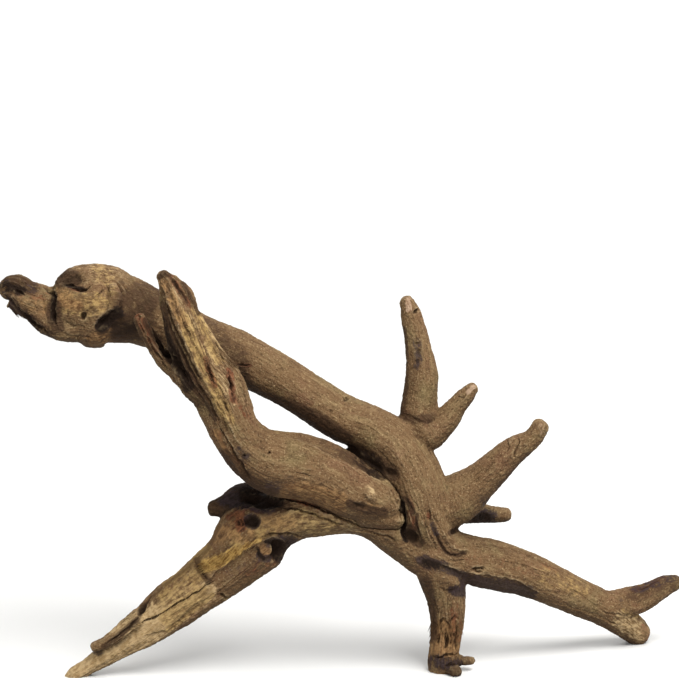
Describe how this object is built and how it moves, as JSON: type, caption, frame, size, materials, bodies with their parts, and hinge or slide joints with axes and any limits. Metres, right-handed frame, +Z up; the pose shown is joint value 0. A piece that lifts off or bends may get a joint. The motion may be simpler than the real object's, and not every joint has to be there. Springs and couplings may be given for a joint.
{
  "type": "aquarium driftwood",
  "caption": "Branching root of weathered driftwood standing on three feet, with a long upper limb ending in a burl, a broken splintered limb in front and thin prongs.",
  "frame": {"origin": "on the ground, under the middle of the whole piece's box", "axes": "+X to the tip of the right leg, along the longest extent; +Y to the back, away from the broken front limb; +Z up"},
  "size_m": [0.3165, 0.0706, 0.1952],
  "materials": {
    "weathered_wood": "bare, water-worn, grey-brown, matt with fine grain",
    "splintered_wood": "bare, split along the grain, tan ridges and dark furrows",
    "rotted_wood": "bare, soft and fibrous, with yellow-brown rot"
  },
  "bodies": {
    "root": {"trunk": "weathered_wood", "upper_limb": "weathered_wood", "front_limb": "splintered_wood", "left_leg": "rotted_wood", "right_leg": "weathered_wood", "centre_foot": "splintered_wood", "tall_prong": "weathered_wood", "short_prong": "weathered_wood", "long_prong": "weathered_wood", "back_stub": "weathered_wood"}
  },
  "joints": []
}
